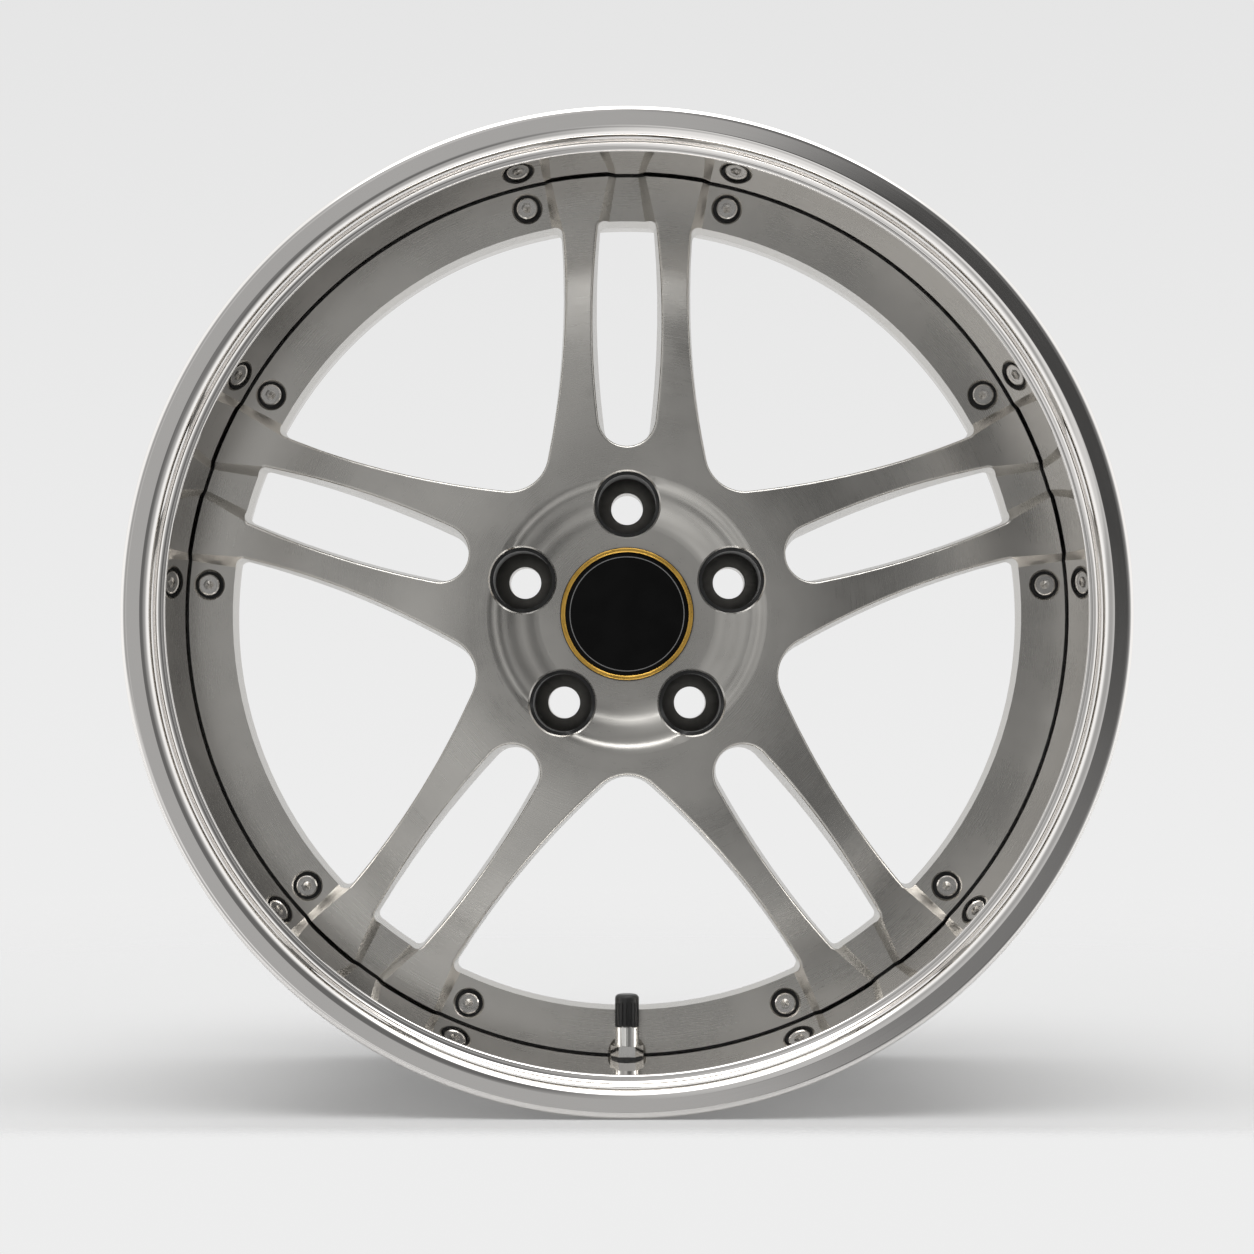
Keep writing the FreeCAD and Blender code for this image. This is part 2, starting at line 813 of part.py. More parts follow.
def cut_bolt_seats(body):
    floor_start = size("ring_floor_depth") - size("flank_start")
    seat = front_sketch(body, "bolt_seat_outline", floor_start)
    chamfer = front_sketch(body, "bolt_chamfer_outline", size("ring_floor_depth"))
    reach = bolt_circle
    for side in (-1, 1):
        angle = side * size("bolt_angle")
        centre = (reach * sine(angle), reach * cosine(angle))
        draw_circle(seat, centre, size("counterbore_radius"))
        draw_circle(chamfer, centre, size("counterbore_radius") + size("counterbore_chamfer"))
    seat_cut = pocket(body, "bolt_seat_cut", seat, counterbore_floor - floor_start)
    chamfer_cut = pocket(body, "bolt_chamfer_cut", chamfer, size("counterbore_chamfer"), as_size(45))
    return polar(body, "bolt_seat_ring", [seat_cut, chamfer_cut], size("pair_count"))


def cut_hub(body):
    start = size("hub_face_depth") - 1
    wide = front_sketch(body, "lug_pocket_outline", start)
    draw_circle(wide, (0, size("lug_circle")), size("lug_pocket"))
    pocket_cut = pocket(body, "lug_pocket_cut", wide, size("lug_pocket_depth") - start)
    hole = front_sketch(body, "lug_hole_outline", start)
    draw_circle(hole, (0, size("lug_circle")), size("lug_hole"))
    hole_cut = pocket(body, "lug_hole_cut", hole)
    back = front_sketch(body, "back_pocket_outline", size("mount_depth"), half_pitch)
    angle = size("back_pocket_angle")
    half = size("back_pocket_half")
    low = size("back_pocket_circle") - half
    high = size("back_pocket_circle") + half
    draw_profile(back, [
        (-low * sine(angle), low * cosine(angle), low, 1),
        (-high * sine(angle), high * cosine(angle), half, -1),
        (high * sine(angle), high * cosine(angle), high, -1),
        (low * sine(angle), low * cosine(angle), half, -1),
    ])
    back_cut = pocket(body, "back_pocket_cut", back, size("back_pocket_depth"), back=True)
    return polar(body, "hub_ring", [pocket_cut, hole_cut, back_cut], size("pair_count"))


def reach_and_depth(point):
    return math.hypot(point.x, point.z), point.y + size("rim_width").value / 2


def on_spoke_edge(points):
    """Whether an edge is part of an opening's outline on the spoke face."""
    places = [reach_and_depth(point) for point in points]
    if all(abs(reach - crown_end.value) < 0.01 for reach, depth in places):
        return False
    inside = all(size("hub_flat_radius").value + 1 < reach < ring_bore.value for reach, depth in places)
    return inside and all(abs(depth - face_depth(reach)) < 0.03 for reach, depth in places)


def on_lug_rim(points):
    """Whether an edge is the mouth of a lug pocket."""
    for spot in lug_places():
        gaps = [math.hypot(point.x - spot.Base.x, point.z - spot.Base.z) for point in points]
        if all(abs(gap - size("lug_pocket").value) < 0.01 for gap in gaps):
            return all(reach_and_depth(point)[1] < bowl_floor.value + 1 for point in points)
    return False


def soften(body, name, kind, dimension, value, test):
    """Round or bevel every edge whose sample points pass the test."""
    doc.recompute()
    base = body.Tip
    names = []
    for index, edge in enumerate(base.Shape.Edges, start=1):
        first, last = edge.ParameterRange
        points = [edge.valueAt(first + (last - first) * share) for share in (0.02, 0.25, 0.5, 0.75, 0.98)]
        if test(points):
            names.append(f"Edge{index}")
    feature = body.newObject(f"PartDesign::{kind}", name)
    feature.Base = (base, names)
    bind(feature, dimension, value)
    body.Tip = feature
    return feature


def make_disc(scoop):
    body = new_body("disc_body")
    revolve(body, "disc_forging", disc_corners())
    cut_openings(body)
    soften(body, "spoke_edges", "Fillet", "Radius", size("spoke_edge_rounding"), on_spoke_edge)
    cut_ring_floors(body)
    cut_bolt_seats(body)
    drill_bolt_holes(body, size("ring_floor_depth"), size("joint_depth"))
    cut_hub(body)
    soften(body, "lug_rims", "Chamfer", "Size", size("lug_pocket_chamfer"), on_lug_rim)
    disc = doc.addObject("Part::Cut", "centre_disc")
    disc.Base = body
    disc.Tool = scoop
    disc.Label = "centre_disc"
    return disc


def make_scoop():
    """Clearance for the valve in the disc, a ball for its nut and a round way for its dust cap."""
    ball = doc.addObject("Part::Sphere", "valve_ball")
    bind(ball, "Radius", size("scoop_radius"))
    way = doc.addObject("Part::Cylinder", "valve_way")
    bind(way, "Radius", size("dust_cap_radius") + size("valve_way_gap"))
    bind(way, "Height", disc_radius - size("scoop_inset") - dust_cap_start + size("valve_way_gap"))
    for piece in (ball, way):
        bind(piece, "Placement.Base.y", axial(size("valve_depth")))
        bind(piece, "Placement.Base.z", size("scoop_inset") - disc_radius)
    scoop = doc.addObject("Part::Fuse", "valve_scoop")
    scoop.Base = ball
    scoop.Tool = way
    return scoop


# Seals between the rim pieces

def make_edge_seal(scoop):
    body = new_body("edge_seal_body")
    inner = disc_radius + size("seal_gap")
    top = size("edge_seal_depth")
    bottom = seal_end
    revolve(body, "edge_seal_ring", [
        (inner, axial(top)),
        (lip_bore(top) - size("seal_gap"), axial(top)),
        (lip_bore(bottom) - size("seal_gap"), axial(bottom)),
        (inner, axial(bottom)),
    ])
    seal = doc.addObject("Part::Cut", "edge_seal")
    seal.Base = body
    seal.Tool = scoop
    seal.Label = "edge_seal"
    return seal


def make_air_seal():
    body = new_body("air_seal")
    reach = tyre_side
    depth = size("joint_groove") - size("seal_gap")
    revolve(body, "air_seal_bead", [
        (reach - depth, axial(joint_back)),
        (reach, axial(joint_back + depth)),
        (reach, axial(joint_back - depth)),
    ])
    return body


# Rim fasteners

def make_bolts():
    body = new_body("rim_bolt")
    seat = counterbore_floor - size("bolt_washer_thickness")
    top = seat - size("bolt_head_height")
    head = size("bolt_head_radius")
    chamfer = size("bolt_head_chamfer")
    rim = size("bolt_rim_radius")
    end = stack_back + size("nut_washer_thickness") + size("nut_height") + size("bolt_end")
    shank = size("bolt_radius")
    tip = size("bolt_end_chamfer")
    revolve(body, "bolt_turning", [
        (0, axial(top - size("bolt_rim_height"))),
        (rim, axial(top - size("bolt_rim_height"))),
        (rim, axial(top)),
        (head - chamfer, axial(top)),
        (head, axial(top + chamfer)),
        (head, axial(seat)),
        (shank, axial(seat)),
        (shank, axial(end - tip)),
        (shank - tip, axial(end)),
        (0, axial(end)),
    ])
    socket = front_sketch(body, "socket_outline", top - size("bolt_rim_height"))
    draw_hexagon(socket, size("bolt_socket_flats"))
    pocket(body, "socket_cut", socket, size("bolt_socket_depth"))
    return body


def ring_corners(inner, outer, top, bottom):
    return [(inner, axial(top)), (outer, axial(top)), (outer, axial(bottom)), (inner, axial(bottom))]


def make_bolt_washer():
    body = new_body("bolt_washer")
    outer = size("counterbore_radius") - size("washer_gap")
    top = counterbore_floor - size("bolt_washer_thickness")
    revolve(body, "bolt_washer_ring", ring_corners(bolt_hole, outer, top, counterbore_floor))
    return body


def make_nut_washer():
    body = new_body("nut_washer")
    bottom = stack_back + size("nut_washer_thickness")
    revolve(body, "nut_washer_ring", ring_corners(bolt_hole, size("nut_washer_radius"), stack_back, bottom))
    return body


def make_nut():
    body = new_body("rim_nut")
    start = stack_back + size("nut_washer_thickness")
    end = start + size("nut_height")
    reach = size("nut_flats") / root(as_size(3))
    outline = front_sketch(body, "nut_outline", end)
    draw_hexagon(outline, size("nut_flats"))
    pad(body, "nut_block", outline, size("nut_height"))
    chamfer = size("nut_chamfer")
    groove(body, "nut_bevel", [
        (reach - chamfer, axial(end)),
        (reach + chamfer, axial(end)),
        (reach + chamfer, axial(end - chamfer)),
        (reach, axial(end - chamfer)),
    ])
    hole = front_sketch(body, "nut_hole_outline", start)
    draw_circle(hole, (0, 0), size("bolt_radius") + size("seal_gap"))
    pocket(body, "nut_hole", hole)
    return body


# Lug seats

def make_lug_seats():
    body = new_body("lug_seat")
    outer = size("lug_pocket") - size("insert_gap")
    inner = outer - size("insert_wall")
    top = size("hub_face_depth")
    cone_start = size("insert_cone_depth")
    cone_end = cone_start + (inner - size("lug_hole")) / tangent(size("insert_cone_angle"))
    bottom = size("lug_pocket_depth")
    revolve(body, "lug_seat_turning", [
        (inner, axial(top)),
        (outer, axial(top)),
        (outer, axial(bottom)),
        (size("lug_hole"), axial(bottom)),
        (size("lug_hole"), axial(cone_end)),
        (inner, axial(cone_start)),
    ])
    doc.recompute()
    sleeves = copies(body, "lug_sleeves", lug_places())
    bowl = new_body("bowl_clearance")
    sink = size("insert_sink")
    reach = size("hub_flat_radius") + size("lug_pocket")
    front = size("hub_face_depth") - size("bowl_depth")
    revolve(bowl, "bowl_turning", [
        (0, axial(front)),
        (0, axial(bowl_floor + sink)),
    ] + bowl_corners(sink) + [
        (reach, axial(size("hub_face_depth") + sink)),
        (reach, axial(front)),
    ])
    seats = doc.addObject("Part::Cut", "lug_seats")
    seats.Base = sleeves
    seats.Tool = bowl
    seats.Label = "lug_seats"
    return seats


# Centre cap

cap_flange_top = bowl_floor - size("cap_flange_height")
cap_skirt = size("cap_bore") - size("cap_fit_gap")
cap_barb_top = cap_land_end - size("cap_barb_lead")
cap_skirt_end = cap_barb_top + size("cap_barb_height")


def make_cap_body():
    body = new_body("cap_body")
    inner = cap_skirt - size("cap_skirt_wall")
    flange = size("cap_flange_radius")
    edge = size("trim_height") / 2
    revolve(body, "cap_turning", [
        (0, axial(cap_flange_top)),
        (flange - edge, axial(cap_flange_top)),
        (flange, axial(cap_flange_top + edge)),
        (flange, axial(bowl_floor)),
        (cap_skirt, axial(bowl_floor)),
        (cap_skirt, axial(cap_barb_top)),
        (cap_skirt + size("cap_barb"), axial(cap_barb_top + size("cap_barb"))),
        (cap_skirt, axial(cap_skirt_end)),
        (inner, axial(cap_skirt_end)),
        (inner, axial(cap_flange_top + size("cap_top_wall"))),
        (0, axial(cap_flange_top + size("cap_top_wall"))),
    ])
    slot = front_sketch(body, "clip_slot_outline", cap_skirt_end)
    half = size("cap_slot_width") / 2
    reach = size("cap_flange_radius")
    draw_profile(slot, [
        (-half, inner - size("cap_skirt_wall")),
        (half, inner - size("cap_skirt_wall")),
        (half, reach),
        (-half, reach),
    ])
    slot_cut = pocket(body, "clip_slot_cut", slot, size("cap_slot_depth"), back=True)
    polar(body, "clip_ring", [slot_cut], size("cap_slot_count"))
    return body


def make_cap_ring():
    body = new_body("cap_ring")
    inner = size("trim_inner")
    outer = inner + size("trim_width")
    top = cap_flange_top - size("trim_height")
    bevel = size("trim_width") / 4
    revolve(body, "trim_turning", [
        (inner, axial(cap_flange_top)),
        (inner, axial(top + bevel)),
        (inner + bevel, axial(top)),
        (outer - bevel, axial(top)),
        (outer, axial(top + bevel)),
        (outer, axial(cap_flange_top)),
    ])
    return body


def make_cap_face():
    body = new_body("cap_face")
    outer = size("trim_inner") - size("face_gap")
    step = size("face_step_radius")
    top = cap_flange_top - size("face_height")
    crown = size("face_crown")
    flat = size("face_flat")
    run = step - flat
    dome = (run * run + crown * crown) / (2 * crown)
    revolve(body, "face_turning", [
        (0, axial(cap_flange_top)),
        (0, axial(top - crown)),
        (flat, axial(top - crown)),
        (step, axial(top), dome, 1),
        (outer, axial(top + crown)),
        (outer, axial(cap_flange_top)),
    ])
    return body


def make_cap_wire():
    wire = doc.addObject("Part::Torus", "cap_spring_ring")
    wire.Label = "cap_spring_ring"
    reach = cap_skirt - size("cap_skirt_wall") - size("seal_gap") - size("wire_radius")
    bind(wire, "Radius1", reach)
    bind(wire, "Radius2", size("wire_radius"))
    wire.Placement = FreeCAD.Placement(FreeCAD.Vector(), FreeCAD.Rotation(FreeCAD.Vector(1, 0, 0), 90))
    bind(wire, "Placement.Base.y", axial(cap_skirt_end - size("wire_sink")))
    return wire


# Valve, modelled with its own z axis along the wheel's radius

cap_inner_top = stem_top - size("seal_gap") - size("cap_pad_thickness")
dust_cap_start = cap_inner_top - size("dust_cap_top")
washer_start = valve_seat - size("valve_washer_thickness")
hex_start = washer_start - size("nut_hex_height")
core_start = stem_top + size("core_top")
core_end = core_start + size("core_length")
shoulder = core_end - size("core_floor")
collar_start = stem_top + size("pin_tip") + size("pin_collar_start")
collar_end = collar_start + size("pin_collar_height")


def set_in_rim(piece):
    """Turn a valve piece from its own axis to the lowest point of the lip."""
    spot = FreeCAD.Vector(0, axial(size("valve_depth")).value, 0)
    piece.Placement = FreeCAD.Placement(spot, FreeCAD.Rotation(FreeCAD.Vector(0, 1, 0), 180))
    bind(piece, "Placement.Base.y", axial(size("valve_depth")))
    return piece


def valve_turning(name, corners):
    body = new_body(name)
    revolve(body, f"{name}_turning", corners, "XZ_Plane")
    return body


def ring_section(inner, outer, start, end):
    return [(inner, start), (outer, start), (outer, end), (inner, end)]


def make_valve_stem():
    chamfer = size("stem_tip_chamfer")
    foot = tyre_side + size("grommet_thickness")
    foot_end = foot + size("foot_thickness")
    return valve_turning("valve_stem", [
        (size("stem_bore"), stem_top),
        (size("stem_radius") - chamfer, stem_top),
        (size("stem_radius"), stem_top + chamfer),
        (size("stem_radius"), foot),
        (size("foot_radius"), foot),
        (size("foot_radius"), foot_end - chamfer),
        (size("foot_radius") - chamfer, foot_end),
        (size("stem_bore"), foot_end),
    ])


def make_valve_grommet():
    gap = size("grommet_gap")
    neck = size("valve_hole") - gap
    inner = size("stem_radius") + gap
    return valve_turning("valve_grommet", [
        (inner, valve_seat + gap),
        (neck, valve_seat + gap),
        (neck, tyre_side + gap),
        (size("foot_radius"), tyre_side + gap),
        (size("foot_radius"), tyre_side + size("grommet_thickness") - gap),
        (inner, tyre_side + size("grommet_thickness") - gap),
    ])


def make_valve_washer():
    inner = size("stem_radius") + size("thread_gap")
    corners = ring_section(inner, size("valve_washer_radius"), washer_start, valve_seat)
    return valve_turning("valve_washer", corners)


def make_valve_nut():
    body = new_body("valve_nut")
    hexagon = new_sketch(body, "hex_outline", "XY_Plane", hex_start)
    draw_hexagon(hexagon, size("nut_hex_flats"))
    pad(body, "hex_block", hexagon, size("nut_hex_height"))
    sleeve = new_sketch(body, "sleeve_outline", "XY_Plane", hex_start - size("nut_sleeve_length"))
    draw_circle(sleeve, (0, 0), size("nut_sleeve_radius"))
    pad(body, "sleeve_block", sleeve, size("nut_sleeve_length"))
    hole = new_sketch(body, "nut_thread_outline", "XY_Plane", valve_seat)
    draw_circle(hole, (0, 0), size("stem_radius") + size("thread_gap"))
    pocket(body, "nut_thread_hole", hole)
    return body


def make_dust_cap():
    rounding = size("dust_cap_rounding")
    outer = size("dust_cap_radius")
    end = dust_cap_start + size("dust_cap_length")
    inner = size("stem_radius") + size("thread_gap")
    body = valve_turning("valve_cap", [
        (0, dust_cap_start),
        (outer - rounding, dust_cap_start),
        (outer, dust_cap_start + rounding, rounding, 1),
        (outer, end),
        (inner, end),
        (inner, cap_inner_top),
        (0, cap_inner_top),
    ])
    rib = new_sketch(body, "rib_outline", "XY_Plane", end)
    draw_circle(rib, (0, outer), size("rib_radius"))
    rib_cut = pocket(body, "rib_cut", rib, size("rib_length"))
    polar(body, "rib_ring", [rib_cut], size("rib_count"), "Z_Axis")
    return body


def make_cap_seal():
    radius = size("stem_radius")
    end = cap_inner_top + size("cap_pad_thickness")
    return valve_turning("cap_seal", ring_section(as_size(0), radius, cap_inner_top, end))


def make_valve_core():
    outer = size("core_radius")
    groove_floor = outer - size("core_groove_depth")
    groove_start = core_start + size("core_groove_start")
    groove_end = groove_start + size("core_groove_width")
    return valve_turning("valve_core", [
        (size("core_bore"), core_start),
        (outer, core_start),
        (outer, groove_start),
        (groove_floor, groove_start),
        (groove_floor, groove_end),
        (outer, groove_end),
        (outer, core_end),
        (size("core_neck"), core_end),
        (size("core_neck"), shoulder),
        (size("core_bore"), shoulder),
    ])


def make_core_seal():
    gap = size("core_seal_gap")
    start = core_start + size("core_groove_start") + gap
    end = core_start + size("core_groove_start") + size("core_groove_width") - gap
    inner = size("core_radius") - size("core_groove_depth") + gap
    return valve_turning("core_seal", ring_section(inner, size("stem_bore") - gap, start, end))


def make_core_pin():
    radius = size("pin_radius")
    poppet = core_end + size("poppet_gap")
    poppet_end = poppet + size("poppet_height")
    return valve_turning("core_pin", [
        (0, stem_top + size("pin_tip")),
        (radius, stem_top + size("pin_tip")),
        (radius, collar_start),
        (size("pin_collar_radius"), collar_start),
        (size("pin_collar_radius"), collar_end),
        (radius, collar_end),
        (radius, poppet),
        (size("poppet_radius"), poppet),
        (size("poppet_radius"), poppet_end),
        (0, poppet_end),
    ])


def make_core_spring():
    wire = size("spring_wire")
    start = collar_end + wire + size("spring_end_gap")
    end = shoulder - wire - size("spring_end_gap")
    helix = doc.addObject("Part::Helix", "spring_path")
    bind(helix, "Radius", size("spring_radius"))
    bind(helix, "Height", end - start)
    bind(helix, "Pitch", (end - start) / size("spring_turns"))
    section = doc.addObject("Part::Circle", "spring_wire")
    bind(section, "Radius", wire)
    section.Placement = FreeCAD.Placement(FreeCAD.Vector(), FreeCAD.Rotation(FreeCAD.Vector(1, 0, 0), 90))
    bind(section, "Placement.Base.x", size("spring_radius"))
    doc.recompute()
    spring = doc.addObject("Part::Sweep", "core_spring")
    spring.Label = "core_spring"
    spring.Sections = [section]
    spring.Spine = (helix, ["Edge1"])
    spring.Solid = True
    spring.Frenet = True
    spot = FreeCAD.Vector(0, axial(size("valve_depth")).value, -start.value)
    spring.Placement = FreeCAD.Placement(spot, FreeCAD.Rotation(FreeCAD.Vector(0, 1, 0), 180))
    bind(spring, "Placement.Base.y", axial(size("valve_depth")))
    bind(spring, "Placement.Base.z", -start)
    return spring


def build_wheel():
    scoop = make_scoop()
    nodes = [make_lip(), make_barrel(), make_disc(scoop), make_edge_seal(scoop), make_air_seal()]
    fasteners = {
        "rim_bolts": make_bolts(),
        "bolt_washers": make_bolt_washer(),
        "nut_washers": make_nut_washer(),
        "rim_nuts": make_nut(),
    }
    nodes.append(make_lug_seats())
    nodes += [make_cap_body(), make_cap_ring(), make_cap_face(), make_cap_wire()]
    valve = [make_valve_stem(), make_valve_grommet(), make_valve_washer(), make_valve_nut(), make_dust_cap(),
             make_cap_seal(), make_valve_core(), make_core_seal(), make_core_pin()]
    nodes += [set_in_rim(piece) for piece in valve]
    nodes.append(make_core_spring())
    doc.recompute()
    nodes += [copies(template, name, bolt_places()) for name, template in fasteners.items()]
    doc.recompute()
    return nodes


def check_and_write(nodes):
    """Stop on any failed object or bad solid, then write one file per node."""
    for item in doc.Objects:
        if "Invalid" in item.State or "Error" in item.State:
            raise RuntimeError(f"{item.Name} failed: {item.State}")
    for node in nodes:
        if node.Shape.isNull() or not node.Shape.isValid():
            raise RuntimeError(f"{node.Label} has a bad shape")
    os.makedirs("parts", exist_ok=True)
    for node in nodes:
        node.Shape.exportStep(f"parts/{node.Label}.step")
        print(f"{node.Label}: {len(node.Shape.Solids)} solids, {node.Shape.Volume:.1f} mm3")


check_and_write(build_wheel())
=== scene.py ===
"""Looks of a bolted alloy car wheel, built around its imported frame."""

import logging
import math
from dataclasses import dataclass, field
from enum import Enum

import bpy
import numpy as np
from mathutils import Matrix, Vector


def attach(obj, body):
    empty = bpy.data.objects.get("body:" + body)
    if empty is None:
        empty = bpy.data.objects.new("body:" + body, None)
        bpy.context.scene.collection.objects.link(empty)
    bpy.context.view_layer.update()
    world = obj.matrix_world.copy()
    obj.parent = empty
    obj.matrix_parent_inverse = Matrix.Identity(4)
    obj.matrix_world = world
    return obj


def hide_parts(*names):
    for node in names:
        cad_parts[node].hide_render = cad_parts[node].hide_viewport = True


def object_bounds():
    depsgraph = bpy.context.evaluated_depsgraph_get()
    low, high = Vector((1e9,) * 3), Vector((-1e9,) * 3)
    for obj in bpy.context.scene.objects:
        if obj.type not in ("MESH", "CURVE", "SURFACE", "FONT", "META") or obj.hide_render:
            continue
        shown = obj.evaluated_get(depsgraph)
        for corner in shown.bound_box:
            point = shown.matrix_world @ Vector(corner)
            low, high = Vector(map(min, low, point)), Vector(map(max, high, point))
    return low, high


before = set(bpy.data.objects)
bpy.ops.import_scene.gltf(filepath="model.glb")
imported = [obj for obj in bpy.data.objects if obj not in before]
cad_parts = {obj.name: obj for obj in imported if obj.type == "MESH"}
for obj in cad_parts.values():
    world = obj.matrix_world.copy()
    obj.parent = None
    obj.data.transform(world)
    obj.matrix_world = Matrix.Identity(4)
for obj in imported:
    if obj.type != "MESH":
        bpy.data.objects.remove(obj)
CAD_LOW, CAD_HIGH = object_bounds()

LOG = logging.getLogger("wheel")
MILLIMETRE = 0.001
RIM_WIDTH = 268.0
WHEEL_BODY = "wheel"

Colour = tuple[float, float, float]
Point = tuple[float, float]
Feed = bpy.types.NodeSocket | float


class Marks(Enum):
    """Directions in which the fine marks of a finish run."""

    RINGS = "rings about the wheel axis"
    BANDS_Y = "bands along the wheel axis"
    BANDS_Z = "bands along the valve axis"
    EVEN = "the same in all directions"


class Bend(Enum):
    """Sides on which the centre of an arc lies, seen along the outline."""

    OUTWARD = 1.0
    INWARD = -1.0


class Sheet:
    """Adds nodes to one shader tree and links them by socket name."""

    def __init__(self, tree: bpy.types.NodeTree) -> None:
        """Empties the tree.

        Args:
            tree: the shader tree that gets the nodes.
        """
        self.tree = tree
        tree.nodes.clear()

    def add(self, kind: str, feeds: dict[str | int, object] | None = None, **settings: object) -> bpy.types.Node:
        """Adds one node.

        Args:
            kind: the node's type name.
            feeds: what each input gets, a socket to link or a plain value.
            **settings: properties of the node.

        Returns:
            The new node.
        """
        node = self.tree.nodes.new(kind)
        for name, value in settings.items():
            setattr(node, name, value)
        for name, value in (feeds or {}).items():
            if isinstance(value, bpy.types.NodeSocket):
                self.tree.links.new(value, node.inputs[name])
            else:
                node.inputs[name].default_value = value
        return node

    def place(self) -> bpy.types.NodeSocket:
        """Reads the coordinates of a piece.

        Returns:
            The socket with the coordinates in metres.
        """
        return self.add("ShaderNodeTexCoord").outputs["Object"]

    def split(self, place: bpy.types.NodeSocket) -> bpy.types.bpy_prop_collection:
        """Takes coordinates apart.

        Args:
            place: the coordinates.

        Returns:
            The sockets X, Y and Z.
        """
        return self.add("ShaderNodeSeparateXYZ", {0: place}).outputs

    def length(self, first: Feed, second: Feed) -> bpy.types.NodeSocket:
        """Measures how far two coordinates lie from zero together.

        Args:
            first: one coordinate.
            second: the coordinate across it.

        Returns:
            The socket with the distance.
        """
        flat = self.add("ShaderNodeCombineXYZ", {0: first, 1: second}).outputs[0]
        return self.add("ShaderNodeVectorMath", {0: flat}, operation="LENGTH").outputs["Value"]

    def math(self, operation: str, first: Feed, second: Feed = 0.0) -> bpy.types.NodeSocket:
        """Adds a sum, product or other calculation.

        Args:
            operation: the name of the calculation.
            first: its first value.
            second: its second value.

        Returns:
            The socket with the result.
        """
        return self.add("ShaderNodeMath", {0: first, 1: second}, operation=operation).outputs[0]

    def ramp(self, value: Feed, span: Point, result: tuple[Feed, Feed] = (0.0, 1.0)) -> bpy.types.NodeSocket:
        """Maps a span of values smoothly to another one.

        Args:
            value: the value to map.
            span: where it starts and ends.
            result: what its start and end become.

        Returns:
            The socket with the mapped value.
        """
        feeds = {"Value": value, "From Min": span[0], "From Max": span[1], "To Min": result[0], "To Max": result[1]}
        return self.add("ShaderNodeMapRange", feeds, interpolation_type="SMOOTHSTEP").outputs["Result"]

    def blend(self, share: Feed, first: Feed, second: Feed) -> bpy.types.NodeSocket:
        """Goes from one number to another by a share.

        Args:
            share: 0 for the first number and 1 for the second.
            first: the number at 0.
            second: the number at 1.

        Returns:
            The socket with the number between them.
        """
        node = self.add("ShaderNodeMix", {"Factor": share, "A": first, "B": second}, data_type="FLOAT")
        return node.outputs["Result"]

    def tint(self, share: Feed, first: object, second: object) -> bpy.types.NodeSocket:
        """Goes from one colour to another by a share.

        Args:
            share: 0 for the first colour and 1 for the second.
            first: the colour at 0.
            second: the colour at 1.

        Returns:
            The socket with the colour between them.
        """
        node = self.add("ShaderNodeMix", {0: share, 6: first, 7: second}, data_type="RGBA")
        return node.outputs[2]

    def noise(self, place: bpy.types.NodeSocket, scale: float, detail: float = 3.0) -> bpy.types.NodeSocket:
        """Adds a cloud of soft random values.

        Args:
            place: the coordinates it is read at.
            scale: how many clouds there are to a metre.
            detail: how many finer layers lie on it.

        Returns:
            The socket with values about 0.5.
        """
        feeds = {"Vector": place, "Scale": scale, "Detail": detail}
        return self.add("ShaderNodeTexNoise", feeds).outputs[0]


